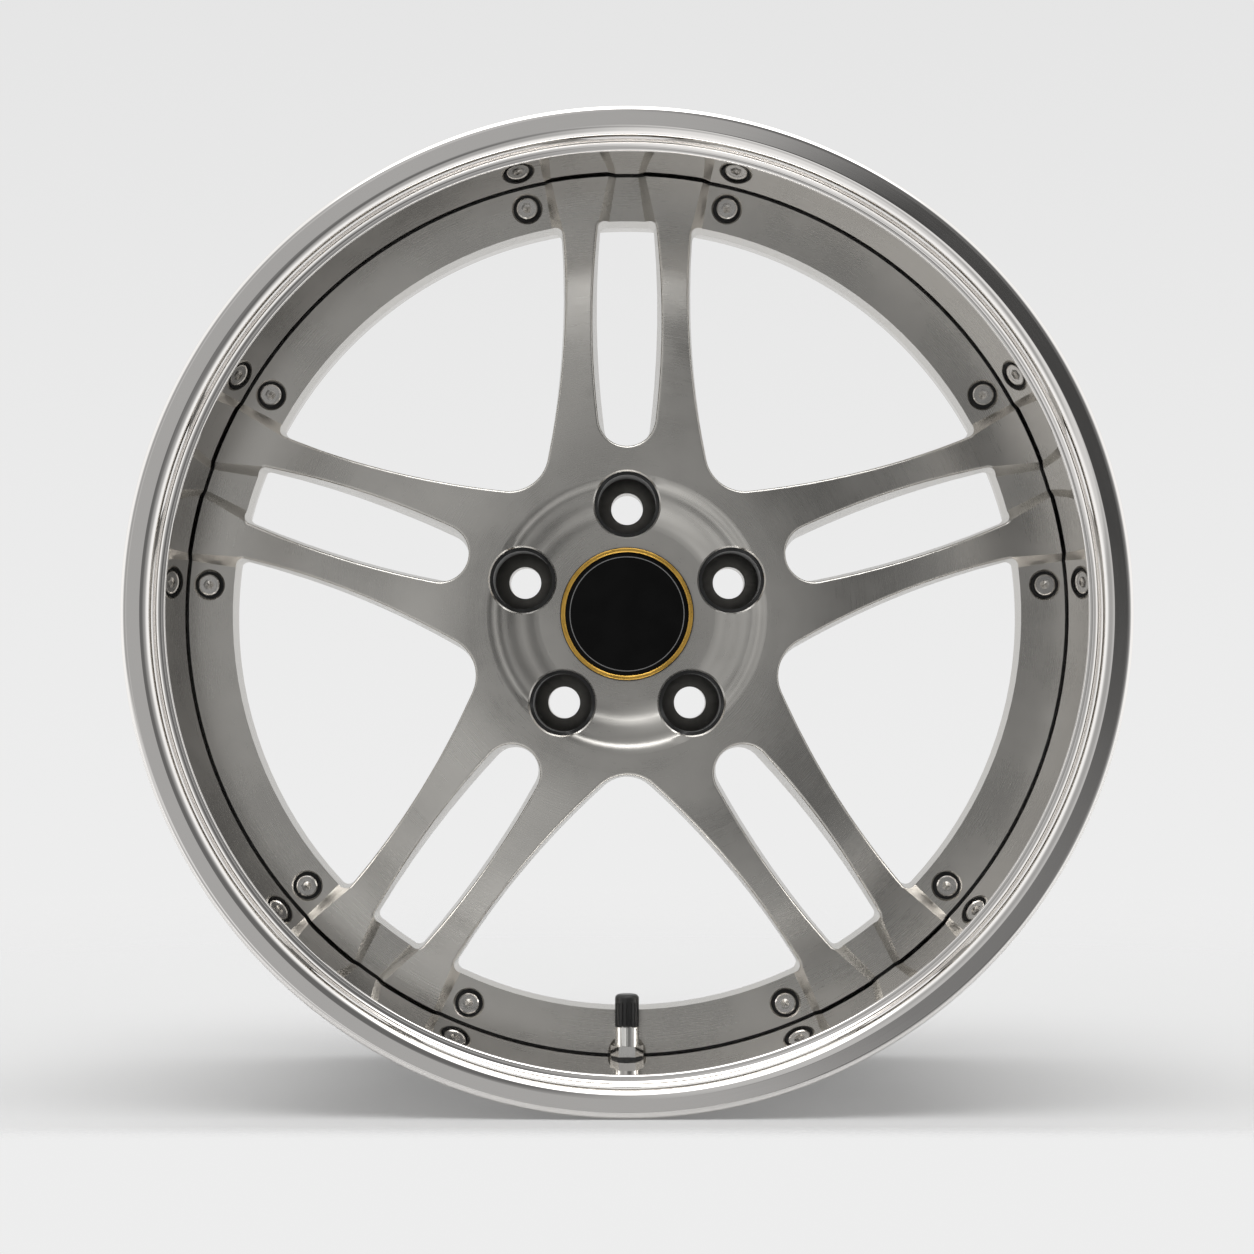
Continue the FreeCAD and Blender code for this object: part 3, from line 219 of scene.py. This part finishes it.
@dataclass(frozen=True)
class Finish:
    """Surface of a piece: its colour, sheen and fine tool marks."""

    name: str
    colour: Colour
    metal: float
    roughness: float
    smear: float
    mottle: float
    marks: Marks
    mark_scale: float
    mark_depth: float
    mottle_scale: float = 14.0
    specular: float = 0.5

    def shade(self, value: float) -> tuple[float, float, float, float]:
        """Scales the colour.

        Args:
            value: the factor.

        Returns:
            The colour with full cover.
        """
        red, green, blue = (min(1.0, part * value) for part in self.colour)
        return red, green, blue, 1.0

    def mark_place(self, sheet: Sheet) -> bpy.types.NodeSocket:
        """Finds the coordinates along which the marks vary.

        Args:
            sheet: the material's node sheet.

        Returns:
            The socket with the coordinates.
        """
        place = sheet.place()
        if self.marks is Marks.EVEN:
            return place
        parts = sheet.split(place)
        if self.marks is Marks.BANDS_Y:
            return sheet.add("ShaderNodeCombineXYZ", {0: parts["Y"]}).outputs[0]
        if self.marks is Marks.BANDS_Z:
            return sheet.add("ShaderNodeCombineXYZ", {0: parts["Z"]}).outputs[0]
        radius = sheet.length(parts["X"], parts["Z"])
        turn = sheet.math("ARCTAN2", parts["Z"], parts["X"])
        slow_turn = sheet.math("MULTIPLY", turn, 0.0025)
        return sheet.add("ShaderNodeCombineXYZ", {0: radius, 1: parts["Y"], 2: slow_turn}).outputs[0]

    def colour_feed(self, sheet: Sheet, cloud: bpy.types.NodeSocket) -> bpy.types.NodeSocket:
        """Gives the colour with its soft patches.

        Args:
            sheet: the material's node sheet.
            cloud: slow random values.

        Returns:
            The socket with the colour.
        """
        patch = sheet.ramp(cloud, (0.3, 0.7))
        return sheet.tint(patch, self.shade(1.0 - self.mottle), self.shade(1.0 + self.mottle))

    def material(self) -> bpy.types.Material:
        """Makes the material.

        Returns:
            The new material.
        """
        made = bpy.data.materials.new(self.name)
        made.use_nodes = True
        sheet = Sheet(made.node_tree)
        cloud = sheet.noise(sheet.place(), self.mottle_scale, 4.0)
        mark = sheet.noise(self.mark_place(sheet), self.mark_scale, 2.0)
        height = self.height_feed(sheet, mark)
        bump = sheet.add("ShaderNodeBump", {"Strength": 1.0, "Distance": self.mark_depth, "Height": height})
        sheen = sheet.math("ADD", sheet.math("MULTIPLY", cloud, 0.6), sheet.math("MULTIPLY", mark, 0.4))
        rough = sheet.ramp(sheen, (0.3, 0.7), (self.roughness - self.smear, self.roughness + self.smear))
        feeds = {
            "Base Color": self.colour_feed(sheet, cloud),
            "Metallic": self.metal,
            "Roughness": rough,
            "Normal": bump.outputs["Normal"],
            "Specular IOR Level": self.specular,
        }
        shader = sheet.add("ShaderNodeBsdfPrincipled", feeds)
        sheet.add("ShaderNodeOutputMaterial", {"Surface": shader.outputs[0]})
        return made

    def height_feed(self, sheet: Sheet, mark: bpy.types.NodeSocket) -> bpy.types.NodeSocket:
        """Gives the height of the fine marks.

        Args:
            sheet: the material's node sheet.
            mark: the random values of the marks.

        Returns:
            The socket with the height.
        """
        return mark


@dataclass(frozen=True)
class PaintedHighlightFinish(Finish):
    """Finish with one thin painted highlight ring about the wheel axis, in place of the light on the edge of the cap
    face's bevelled step.
    """

    highlight_radius: float = 0.0297
    highlight_half_width: float = 0.00022
    highlight_colour: Colour = (0.22, 0.22, 0.22)

    def colour_feed(self, sheet: Sheet, cloud: bpy.types.NodeSocket) -> bpy.types.NodeSocket:
        """Gives the colour with its soft patches and the painted highlight ring.

        Args:
            sheet: the material's node sheet.
            cloud: slow random values.

        Returns:
            The socket with the colour.
        """
        ground = super().colour_feed(sheet, cloud)
        parts = sheet.split(sheet.place())
        radius = sheet.length(parts["X"], parts["Z"])
        # painted highlight: a thin grey ring where the edge of the cap face's bevelled step catches the light
        feeds = {0: radius, 1: self.highlight_radius, 2: self.highlight_half_width}
        ring = sheet.add("ShaderNodeMath", feeds, operation="COMPARE").outputs[0]
        return sheet.tint(ring, ground, (*self.highlight_colour, 1.0))


@dataclass(frozen=True)
class DeepFinish(Finish):
    """Finish that changes its colour with the depth along the wheel axis: deeper in, a lighter grey is painted on in
    place of the light on the cone seats.
    """

    span: Point = (-0.0715, -0.0605)
    painted_light_colour: Colour = (0.34, 0.33, 0.31)

    def colour_feed(self, sheet: Sheet, cloud: bpy.types.NodeSocket) -> bpy.types.NodeSocket:
        """Gives the colour with its soft patches and the painted light that grows along the axis.

        Args:
            sheet: the material's node sheet.
            cloud: slow random values.

        Returns:
            The socket with the colour.
        """
        along = sheet.split(sheet.place())["Y"]
        ground = super().colour_feed(sheet, cloud)
        # painted light: deeper in the pocket the colour goes to a lighter grey in place of the light on the cone
        # seats
        return sheet.tint(sheet.ramp(along, self.span), ground, (*self.painted_light_colour, 1.0))


@dataclass(frozen=True)
class BoltFinish(Finish):
    """Finish of the rim bolts, with a drill point in each socket and a thread at each end."""

    circle: float = 0.2224
    pair_turn: float = 72.0
    side_turn: float = 13.8
    drill_radius: float = 0.0022
    drill_end: float = -0.067
    drill_slope: float = 0.6
    pitch: float = 0.00125
    thread_start: float = -0.0361

    def axis_gap(self, sheet: Sheet, parts: bpy.types.bpy_prop_collection) -> bpy.types.NodeSocket:
        """Measures how far a place is from the axis of the nearest bolt.

        Args:
            sheet: the material's node sheet.
            parts: the sockets with the coordinates.

        Returns:
            The socket with the distance.
        """
        reach = sheet.length(parts["X"], parts["Z"])
        turn = sheet.math("ARCTAN2", parts["X"], parts["Z"])
        side = sheet.math("PINGPONG", turn, math.radians(self.pair_turn / 2.0))
        lean = sheet.math("SUBTRACT", side, math.radians(self.side_turn))
        across = sheet.math("MULTIPLY", reach, sheet.math("SINE", lean))
        outward = sheet.math("MULTIPLY", reach, sheet.math("COSINE", lean))
        return sheet.length(across, sheet.math("SUBTRACT", outward, self.circle))

    def height_feed(self, sheet: Sheet, mark: bpy.types.NodeSocket) -> bpy.types.NodeSocket:
        """Gives the height of the drill point and the thread over the fine marks.

        Args:
            sheet: the material's node sheet.
            mark: the random values of the marks.

        Returns:
            The socket with the height.
        """
        parts = sheet.split(sheet.place())
        inward = sheet.math("SUBTRACT", self.axis_gap(sheet, parts), self.drill_radius)
        sink = sheet.math("MINIMUM", inward, 0.0)
        point = sheet.math("MULTIPLY", sink, sheet.math("LESS_THAN", parts["Y"], self.drill_end))
        tooth = sheet.math("PINGPONG", parts["Y"], self.pitch / 2.0)
        thread = sheet.math("MULTIPLY", tooth, sheet.math("GREATER_THAN", parts["Y"], self.thread_start))
        steep = self.drill_slope / self.mark_depth
        return sheet.math("ADD", mark, sheet.math("MULTIPLY", sheet.math("ADD", point, thread), steep))


POLISHED = Finish("polished_alloy", (0.90, 0.878, 0.855), 1.0, 0.05, 0.02, 0.015, Marks.RINGS, 2600.0, 0.0000003)
SATIN = Finish("satin_alloy", (0.565, 0.549, 0.518), 1.0, 0.29, 0.05, 0.06, Marks.RINGS, 2600.0, 0.0000025, 24.0)
TURNED = Finish("barrel_alloy", (0.62, 0.605, 0.58), 1.0, 0.26, 0.05, 0.03, Marks.RINGS, 1500.0, 0.00002)
SEALANT = Finish("black_sealant", (0.014, 0.014, 0.014), 0.0, 0.55, 0.08, 0.25, Marks.EVEN, 900.0, 0.00008, 60.0)
STEEL = Finish("bolt_steel", (0.62, 0.605, 0.58), 1.0, 0.20, 0.04, 0.05, Marks.EVEN, 2200.0, 0.000002, 160.0)
HEADS = BoltFinish("bolt_heads", (0.62, 0.605, 0.58), 1.0, 0.20, 0.04, 0.05, Marks.EVEN, 2200.0, 0.000002, 160.0)
BLACK = Finish("black_steel", (0.012, 0.012, 0.012), 0.0, 0.40, 0.06, 0.2, Marks.BANDS_Y, 1400.0, 0.00006, 120.0)
# the seat inserts carry painted light: a lighter grey on their cones deep in the pocket
SEATS = DeepFinish("black_seats", (0.01, 0.01, 0.01), 0.0, 0.38, 0.06, 0.2, Marks.BANDS_Y, 1400.0, 0.00012, 120.0)
PLASTIC = Finish("cap_plastic", (0.014, 0.014, 0.014), 0.0, 0.40, 0.06, 0.15, Marks.EVEN, 2600.0, 0.00003, 90.0)
# the cap face's finish carries a painted highlight ring on the edge of its bevelled step
GLOSS = PaintedHighlightFinish("cap_gloss", (0.003, 0.003, 0.003), 0.0, 0.45, 0.05, 0.2, Marks.EVEN, 700.0, 0.000006, 70.0, 0.1)
GOLD = Finish("gold_trim", (0.78, 0.47, 0.10), 1.0, 0.30, 0.07, 0.06, Marks.RINGS, 2400.0, 0.00001, 90.0)
CHROME = Finish("valve_metal", (0.80, 0.785, 0.76), 1.0, 0.11, 0.03, 0.02, Marks.BANDS_Z, 2600.0, 0.000008, 120.0)
BRASS = Finish("valve_brass", (0.70, 0.50, 0.22), 1.0, 0.28, 0.05, 0.05, Marks.BANDS_Z, 2400.0, 0.00001, 150.0)
RUBBER = Finish("valve_rubber", (0.012, 0.012, 0.012), 0.0, 0.52, 0.06, 0.2, Marks.EVEN, 1800.0, 0.00004, 120.0)


@dataclass
class Outline:
    """Closed outline of a turned piece, in millimetres of radius and depth behind the front flange."""

    start: Point
    runs: list[tuple[np.ndarray, np.ndarray]] = field(default_factory=list)

    def end(self) -> np.ndarray:
        """Finds where the outline has got to.

        Returns:
            The last point.
        """
        return self.runs[-1][0][-1] if self.runs else np.array(self.start)

    def line(self, *points: Point) -> "Outline":
        """Goes straight from point to point.

        Args:
            *points: the corners in order.

        Returns:
            The outline itself.
        """
        for point in points:
            begin, stop = self.end(), np.array(point)
            along = (stop - begin) / np.linalg.norm(stop - begin)
            outward = np.array([along[1], -along[0]])
            self.runs.append((np.array([begin, stop]), np.array([outward, outward])))
        return self

    def arc(self, point: Point, radius: float, bend: Bend, steps: int = 12) -> "Outline":
        """Goes round an arc.

        Args:
            point: where the arc ends.
            radius: its radius.
            bend: the side on which its centre lies.
            steps: how many chords it has.

        Returns:
            The outline itself.
        """
        begin, stop = self.end(), np.array(point)
        half = (stop - begin) / 2.0
        reach = np.linalg.norm(half)
        left = np.array([-half[1], half[0]]) / reach
        centre = begin + half + left * math.sqrt(max(radius * radius - reach * reach, 0.0)) * bend.value
        first = math.atan2(*(begin - centre)[::-1])
        last = math.atan2(*(stop - centre)[::-1])
        swing = (last - first + math.pi) % (2.0 * math.pi) - math.pi
        angles = first + swing * np.linspace(0.0, 1.0, steps + 1)
        spokes = np.stack([np.cos(angles), np.sin(angles)], axis=1)
        self.runs.append((centre + radius * spokes, spokes * bend.value))
        return self

    def turn(self, name: str, segments: int) -> bpy.types.Object:
        """Turns the outline about the wheel axis.

        Args:
            name: the piece's name.
            segments: how many steps one turn has.

        Returns:
            The new mesh object.
        """
        points = np.concatenate([run[0][:-1] for run in self.runs])
        count = len(points)
        angle = np.arange(segments) * 2.0 * math.pi / segments
        ring = np.stack([np.cos(angle), np.zeros(segments), np.sin(angle)], axis=1)
        axis = np.array([0.0, 1.0, 0.0])
        radii, depths = points[:, 0] * MILLIMETRE, (points[:, 1] - RIM_WIDTH / 2.0) * MILLIMETRE
        places = radii[:, None, None] * ring[None] + depths[:, None, None] * axis
        faces, normals, row = [], [], 0
        step = np.arange(segments)
        after = (step + 1) % segments
        for corners, outward in self.runs:
            for index in range(len(corners) - 1):
                lower, upper = row % count * segments, (row + 1) % count * segments
                faces.append(np.stack([lower + step, upper + step, upper + after, lower + after], axis=1))
                low, high = outward[index], outward[index + 1]
                sides = [low[0] * ring + low[1] * axis, high[0] * ring + high[1] * axis]
                normals.append(np.stack([sides[0], sides[1], sides[1][after], sides[0][after]], axis=1))
                row += 1
        mesh = bpy.data.meshes.new(name)
        mesh.from_pydata(places.reshape(-1, 3).tolist(), [], np.concatenate(faces).tolist())
        mesh.polygons.foreach_set("use_smooth", [True] * len(mesh.polygons))
        mesh.normals_split_custom_set(np.concatenate(normals).reshape(-1, 3).tolist())
        made = bpy.data.objects.new(name, mesh)
        bpy.context.scene.collection.objects.link(made)
        return made


def lip_outline() -> Outline:
    """Draws the front rim half.

    Returns:
        Its outline.
    """
    draw = Outline((255.0, 0.0)).arc((258.6, 3.6), 3.6, Bend.OUTWARD).line((258.6, 9.75))
    draw.arc((255.0, 13.35), 3.6, Bend.OUTWARD).line((247.8, 13.35)).arc((241.3, 19.85), 6.5, Bend.INWARD)
    draw.line((239.99, 34.85), (241.19, 38.55), (241.19, 41.05), (240.2, 44.75), (240.2, 86.5), (237.7, 89.0))
    draw.line((211.0, 89.0), (211.0, 81.5), (233.498, 81.5), (233.498, 70.0))
    draw.arc((237.5, 15.5), 600.0, Bend.OUTWARD, 16)
    draw.arc((238.9, 14.1), 1.4, Bend.OUTWARD).arc((242.5, 10.5), 3.6, Bend.INWARD, 20).line((242.5, 7.672))
    return draw.arc((248.7076, 0.7169), 7.0, Bend.OUTWARD, 28).line((255.0, 0.0))


def barrel_outline() -> Outline:
    """Draws the rear rim half.

    Returns:
        Its outline.
    """
    draw = Outline((211.0, 96.5)).line((211.0, 89.0), (237.7, 89.0), (240.2, 91.5), (240.2, 104.0), (222.0, 122.0))
    draw.line((222.0, 150.0), (240.2, 176.0), (240.2, 223.25), (241.19, 226.95), (241.19, 229.45), (239.99, 233.15))
    draw.line((241.3, 248.15)).arc((247.8, 254.65), 6.5, Bend.INWARD).line((255.0, 254.65))
    draw.arc((258.6, 258.25), 3.6, Bend.OUTWARD).line((258.6, 264.4)).arc((255.0, 268.0), 3.6, Bend.OUTWARD)
    draw.line((250.5, 268.0)).arc((244.5, 262.0), 6.0, Bend.OUTWARD).line((235.7, 250.0), (235.7, 176.0))
    return draw.line((217.5, 150.0), (217.5, 122.0), (235.7, 104.0), (235.7, 96.5), (211.0, 96.5))


@dataclass
class Assembly:
    """Group of pieces that keep the shape they have in the frame and get a finish each."""

    finishes: dict[str, Finish]

    def build(self) -> list[bpy.types.Object]:
        """Collects the pieces.

        Returns:
            The objects that are shown.
        """
        return [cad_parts[name] for name in self.finishes]

    def dress(self, pieces: list[bpy.types.Object]) -> None:
        """Gives each piece its finish.

        Args:
            pieces: the objects that are shown, in the order of the finishes.
        """
        for piece, finish in zip(pieces, self.finishes.values()):
            wear(piece, finish)


@dataclass
class RimHalf(Assembly):
    """Turned half of the rim, with a finer surface than the frame's."""

    outline: Outline
    segments: int

    def build(self) -> list[bpy.types.Object]:
        """Turns the half and lets it stand for its node.

        Returns:
            The new object.
        """
        made = []
        for name, finish in self.finishes.items():
            piece = self.outline.turn(f"{name}_turned", self.segments)
            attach(piece, WHEEL_BODY)
            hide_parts(name)
            made.append(piece)
        return made


@dataclass
class SpokeDisc(Assembly):
    """Milled centre with its twin spokes and the seal round it."""


@dataclass
class RimFasteners(Assembly):
    """Bolts, washers and nuts that hold the rim together."""


@dataclass
class LugSeats(Assembly):
    """Seat inserts of the lug pockets."""


@dataclass
class CentreCap(Assembly):
    """Snap-in cap with its trim ring and bare face."""


@dataclass
class Valve(Assembly):
    """Tyre valve with its core and dust cap."""


@dataclass
class Studio:
    """Pale room with soft light and the photo's camera."""

    backdrop: Point = (0.85, 0.775)
    floor_shade: float = 0.50
    ceiling: float = 2.0
    soft_box: float = 3.0
    camera_place: tuple[float, float, float] = (0.0, -1.604, -0.0406)
    lens: float = 82.9
    rise: float = 0.0518

    def build(self) -> None:
        """Sets up the room, the light and the camera."""
        self.lay_floor()
        self.light_room()
        self.place_camera()
        bpy.context.scene.view_settings.view_transform = "Standard"

    def lay_floor(self) -> None:
        """Lays a pale floor that keeps the shadow and fades into the backdrop."""
        bpy.ops.mesh.primitive_plane_add(size=40.0, location=(0.0, 0.0, CAD_LOW.z))
        floor = bpy.context.object
        floor.name = "floor"
        material = bpy.data.materials.new("floor_paint")
        material.use_nodes = True
        sheet = Sheet(material.node_tree)
        place = sheet.place()
        grain = sheet.noise(place, 3.0)
        pale, paler = self.floor_shade * 0.997, self.floor_shade * 1.003
        colour = sheet.tint(grain, (pale, pale, pale, 1.0), (paler, paler, paler, 1.0))
        paint = sheet.add("ShaderNodeBsdfDiffuse", {"Color": colour})
        parts = sheet.split(place)
        far = sheet.ramp(sheet.length(parts["X"], parts["Y"]), (0.3, 1.6), (0.16, 1.0))
        fade = sheet.math("MAXIMUM", far, sheet.ramp(parts["Y"], (-0.145, -0.20)))
        clear = sheet.add("ShaderNodeBsdfTransparent")
        cover = sheet.add("ShaderNodeMixShader", {0: fade, 1: paint.outputs[0], 2: clear.outputs[0]})
        sheet.add("ShaderNodeOutputMaterial", {"Surface": cover.outputs[0]})
        floor.data.materials.append(material)

    def front_light(self, sheet: Sheet, parts: bpy.types.bpy_prop_collection) -> bpy.types.NodeSocket:
        """Gives the dim front of the room, lighter to the left and below, with a dark patch behind the camera.

        Args:
            sheet: the world's node sheet.
            parts: the sockets with the direction.

        Returns:
            The socket with the strength.
        """
        front = sheet.ramp(parts["X"], (-0.10, 0.16), (0.53, 0.14))
        front = sheet.math("ADD", front, sheet.ramp(parts["X"], (0.45, 0.75), (0.0, 0.2)))
        front = sheet.math("SUBTRACT", front, sheet.ramp(parts["X"], (-0.22, -0.5), (0.0, 0.14)))
        front = sheet.math("ADD", front, sheet.ramp(parts["Z"], (-0.38, -0.58), (0.0, 0.28)))
        low = sheet.math("MULTIPLY", sheet.ramp(parts["Z"], (-0.04, -0.12)), sheet.ramp(parts["Z"], (-0.35, -0.22)))
        glow = sheet.ramp(parts["X"], (-0.04, 0.06), (0.28, 0.05))
        front = sheet.math("ADD", front, sheet.math("MULTIPLY", low, glow))
        side = sheet.ramp(sheet.math("ABSOLUTE", parts["X"]), (0.16, 0.09))
        rise = sheet.ramp(sheet.math("ABSOLUTE", parts["Z"]), (0.20, 0.12))
        dark = sheet.ramp(parts["Z"], (0.02, 0.07), (0.06, 0.20))
        patch = sheet.blend(sheet.ramp(parts["X"], (-0.035, -0.01)), dark, 0.41)
        return sheet.blend(sheet.math("MULTIPLY", side, rise), front, patch)

    def top_light(self, sheet: Sheet, parts: bpy.types.bpy_prop_collection) -> bpy.types.NodeSocket:
        """Gives the light of the ceiling and of the soft box above the front.

        Args:
            sheet: the world's node sheet.
            parts: the sockets with the direction.

        Returns:
            The socket with the strength.
        """
        height = sheet.math("MULTIPLY", sheet.ramp(parts["Z"], (0.72, 0.88)), sheet.ramp(parts["Z"], (0.995, 0.96)))
        width = sheet.ramp(sheet.math("ABSOLUTE", parts["X"]), (0.60, 0.42))
        depth = sheet.ramp(parts["Y"], (0.1, -0.1))
        box = sheet.math("MULTIPLY", sheet.math("MULTIPLY", height, width), depth)
        ceiling = sheet.ramp(parts["Z"], (0.86, 0.94), (0.0, self.ceiling))
        return sheet.math("ADD", sheet.math("MULTIPLY", box, self.soft_box), ceiling)

    def light_room(self) -> None:
        """Lights the room: white walls, a dim front, light from above and the backdrop behind."""
        world = bpy.data.worlds.new("room")
        bpy.context.scene.world = world
        world.use_nodes = True
        sheet = Sheet(world.node_tree)
        parts = sheet.split(sheet.add("ShaderNodeTexCoord").outputs["Generated"])
        backdrop = sheet.ramp(parts["Z"], (-0.10, 0.36), self.backdrop)
        wall = sheet.blend(sheet.ramp(parts["Y"], (-0.68, -0.25)), self.front_light(sheet, parts), 1.0)
        wall = sheet.blend(sheet.ramp(parts["Y"], (0.5, 0.9)), wall, backdrop)
        light = sheet.math("ADD", wall, self.top_light(sheet, parts))
        seen = sheet.add("ShaderNodeLightPath").outputs["Is Camera Ray"]
        strength = sheet.blend(seen, light, backdrop)
        shine = sheet.add("ShaderNodeBackground", {"Color": (1.0, 1.0, 1.0, 1.0), "Strength": strength})
        sheet.add("ShaderNodeOutputWorld", {"Surface": shine.outputs[0]})

    def place_camera(self) -> None:
        """Puts the camera where the photo was taken from."""
        camera = bpy.data.cameras.new("camera")
        camera.lens = self.lens
        camera.sensor_width = 36.0
        camera.shift_y = self.rise
        holder = bpy.data.objects.new("camera", camera)
        holder.location = self.camera_place
        holder.rotation_euler = (math.pi / 2.0, 0.0, 0.0)
        bpy.context.scene.collection.objects.link(holder)
        bpy.context.scene.camera = holder


MADE: dict[str, bpy.types.Material] = {}


def wear(piece: bpy.types.Object, finish: Finish) -> None:
    """Gives a piece its finish.

    Args:
        piece: the object.
        finish: the finish it gets.
    """
    if finish.name not in MADE:
        MADE[finish.name] = finish.material()
    piece.data.materials.clear()
    piece.data.materials.append(MADE[finish.name])


def main() -> None:
    """Builds the wheel and the room, one group after another."""
    logging.basicConfig(level=logging.INFO, format="%(message)s")
    groups: list[Assembly] = [
        RimHalf({"outer_lip": POLISHED}, lip_outline(), 720),
        RimHalf({"inner_barrel": TURNED}, barrel_outline(), 540),
        SpokeDisc({"centre_disc": SATIN, "edge_seal": SEALANT, "air_seal": SEALANT}),
        RimFasteners({"rim_bolts": HEADS, "bolt_washers": BLACK, "nut_washers": STEEL, "rim_nuts": STEEL}),
        LugSeats({"lug_seats": SEATS}),
        CentreCap({"cap_body": PLASTIC, "cap_ring": GOLD, "cap_face": GLOSS, "cap_spring_ring": STEEL}),
        Valve({
            "valve_stem": CHROME, "valve_grommet": RUBBER, "valve_washer": RUBBER, "valve_nut": CHROME,
            "valve_cap": PLASTIC, "cap_seal": RUBBER, "valve_core": BRASS, "core_seal": RUBBER,
            "core_pin": BRASS, "core_spring": STEEL,
        }),
    ]
    for group in groups:
        pieces = group.build()
        group.dress(pieces)
        LOG.info("%s: %s", type(group).__name__, ", ".join(piece.name for piece in pieces))
    Studio().build()


if __name__ == "__main__":
    main()
